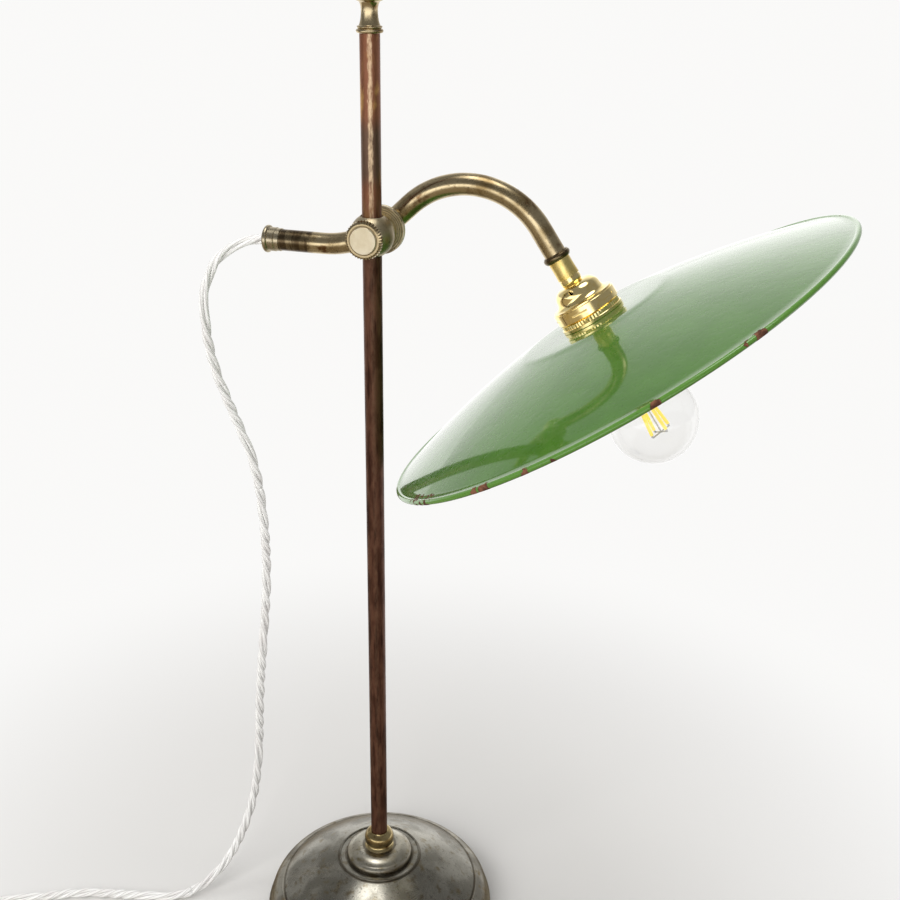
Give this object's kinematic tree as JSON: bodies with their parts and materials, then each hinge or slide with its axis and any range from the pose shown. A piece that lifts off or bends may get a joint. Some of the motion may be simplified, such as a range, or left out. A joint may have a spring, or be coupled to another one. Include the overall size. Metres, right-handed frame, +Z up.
{
  "type": "desk lamp",
  "caption": "Adjustable desk lamp: a weighted round base, a rod, a ball clamp that slides and turns, a tilting swan-neck arm and a wide shallow enamelled shade.",
  "frame": {"origin": "on the rod's axis, on the underside of the base's felt pad, at the table", "axes": "+Z up along the rod, +X along the arm towards the shade, +Y towards the side of the rod where the arm sits, away from the thumbscrew"},
  "size_m": [0.6818, 0.4356, 0.7201],
  "materials": {
    "felt": "matt felt",
    "cast_base": "worn plating over iron",
    "base_metal": "aged pewter grey, scratched",
    "rod_metal": "dark brown patina",
    "aged_brass": "aged, brown patches",
    "polished_brass": "polished",
    "dark_brass": "dark, worn edges",
    "steel": "plain",
    "enamel": "gloss enamel, chipped rim",
    "bulb_glass": "clear",
    "bulb_metal": "bright",
    "filament": "yellow phosphor",
    "moulded_block": "dark moulding",
    "braid": "woven sleeve",
    "lead_insulation": "plain",
    "nylon": "plain",
    "plug_moulding": "gloss",
    "tie": "matt"
  },
  "bodies": {
    "stand": {"base_pad": "felt", "base_casting": "cast_base", "base_dome": "base_metal", "base_collar": "base_metal", "neck_collar": "base_metal", "rod": "rod_metal", "rod_washer": "steel", "rod_nut": "steel", "finial": "aged_brass", "flex_lower": "braid", "flex_table": "braid", "flex_coil": "braid", "coil_tie": "tie", "plug_base": "plug_moulding", "plug_cover": "plug_moulding", "plug_pins": "polished_brass", "plug_screw": "steel"},
    "rod_bush": {"rod_bush": "aged_brass"},
    "clamp": {"clamp_ball": "aged_brass", "friction_washer": "steel", "pivot_grub_screw": "steel", "flex_middle": "braid"},
    "pad": {"pressure_pad": "nylon"},
    "thumbscrew": {"thumbscrew": "aged_brass"},
    "arm": {"swivel_hub": "aged_brass", "arm_tube": "aged_brass", "tail_ferrule": "aged_brass", "cord_bush": "nylon", "inner_lead": "lead_insulation", "end_collar": "dark_brass", "coupler": "polished_brass", "hollow_nipple": "steel", "lock_ring": "polished_brass", "holder_cap": "polished_brass", "cap_screw": "polished_brass", "slotted_ring": "polished_brass", "holder_body": "polished_brass", "upper_shade_ring": "polished_brass", "shade": "enamel", "lower_shade_ring": "polished_brass", "contact_block": "moulded_block", "plungers": "polished_brass", "plunger_springs": "steel", "terminal_screws": "polished_brass", "bulb_cap": "bulb_metal", "bulb_glass": "bulb_glass", "bulb_stem": "bulb_glass", "filaments": "filament", "filament_supports": "steel", "flex_top": "braid"}
  },
  "joints": [
    {"name": "clamp_slide", "type": "slide", "parent": "stand", "child": "rod_bush", "axis": [0, 0, 1], "range_m": [-0.2, 0.1], "deforming": ["flex_lower"]},
    {"name": "clamp_turn", "type": "hinge", "parent": "rod_bush", "child": "clamp", "pos_m": [0, 0, 0.5589], "axis": [0, 0, 1], "range_deg": [-120, 120], "deforming": ["flex_middle"]},
    {"name": "arm_tilt", "type": "hinge", "parent": "clamp", "child": "arm", "pos_m": [0, 0, 0.5589], "axis": [0, 1, 0], "range_deg": [-70, 3], "deforming": ["flex_top"]},
    {"name": "pad_travel", "type": "slide", "parent": "clamp", "child": "pad", "axis": [0, 1, 0], "range_m": [-0.002, 0]},
    {"name": "thumbscrew_turn", "type": "hinge", "parent": "pad", "child": "thumbscrew", "pos_m": [0, 0, 0.5589], "axis": [0, 1, 0], "range_deg": [-726, 4]}
  ],
  "couplings": [
    {"joint": "thumbscrew_turn", "follows": "pad_travel", "rad_per_m": 6283.2}
  ]
}
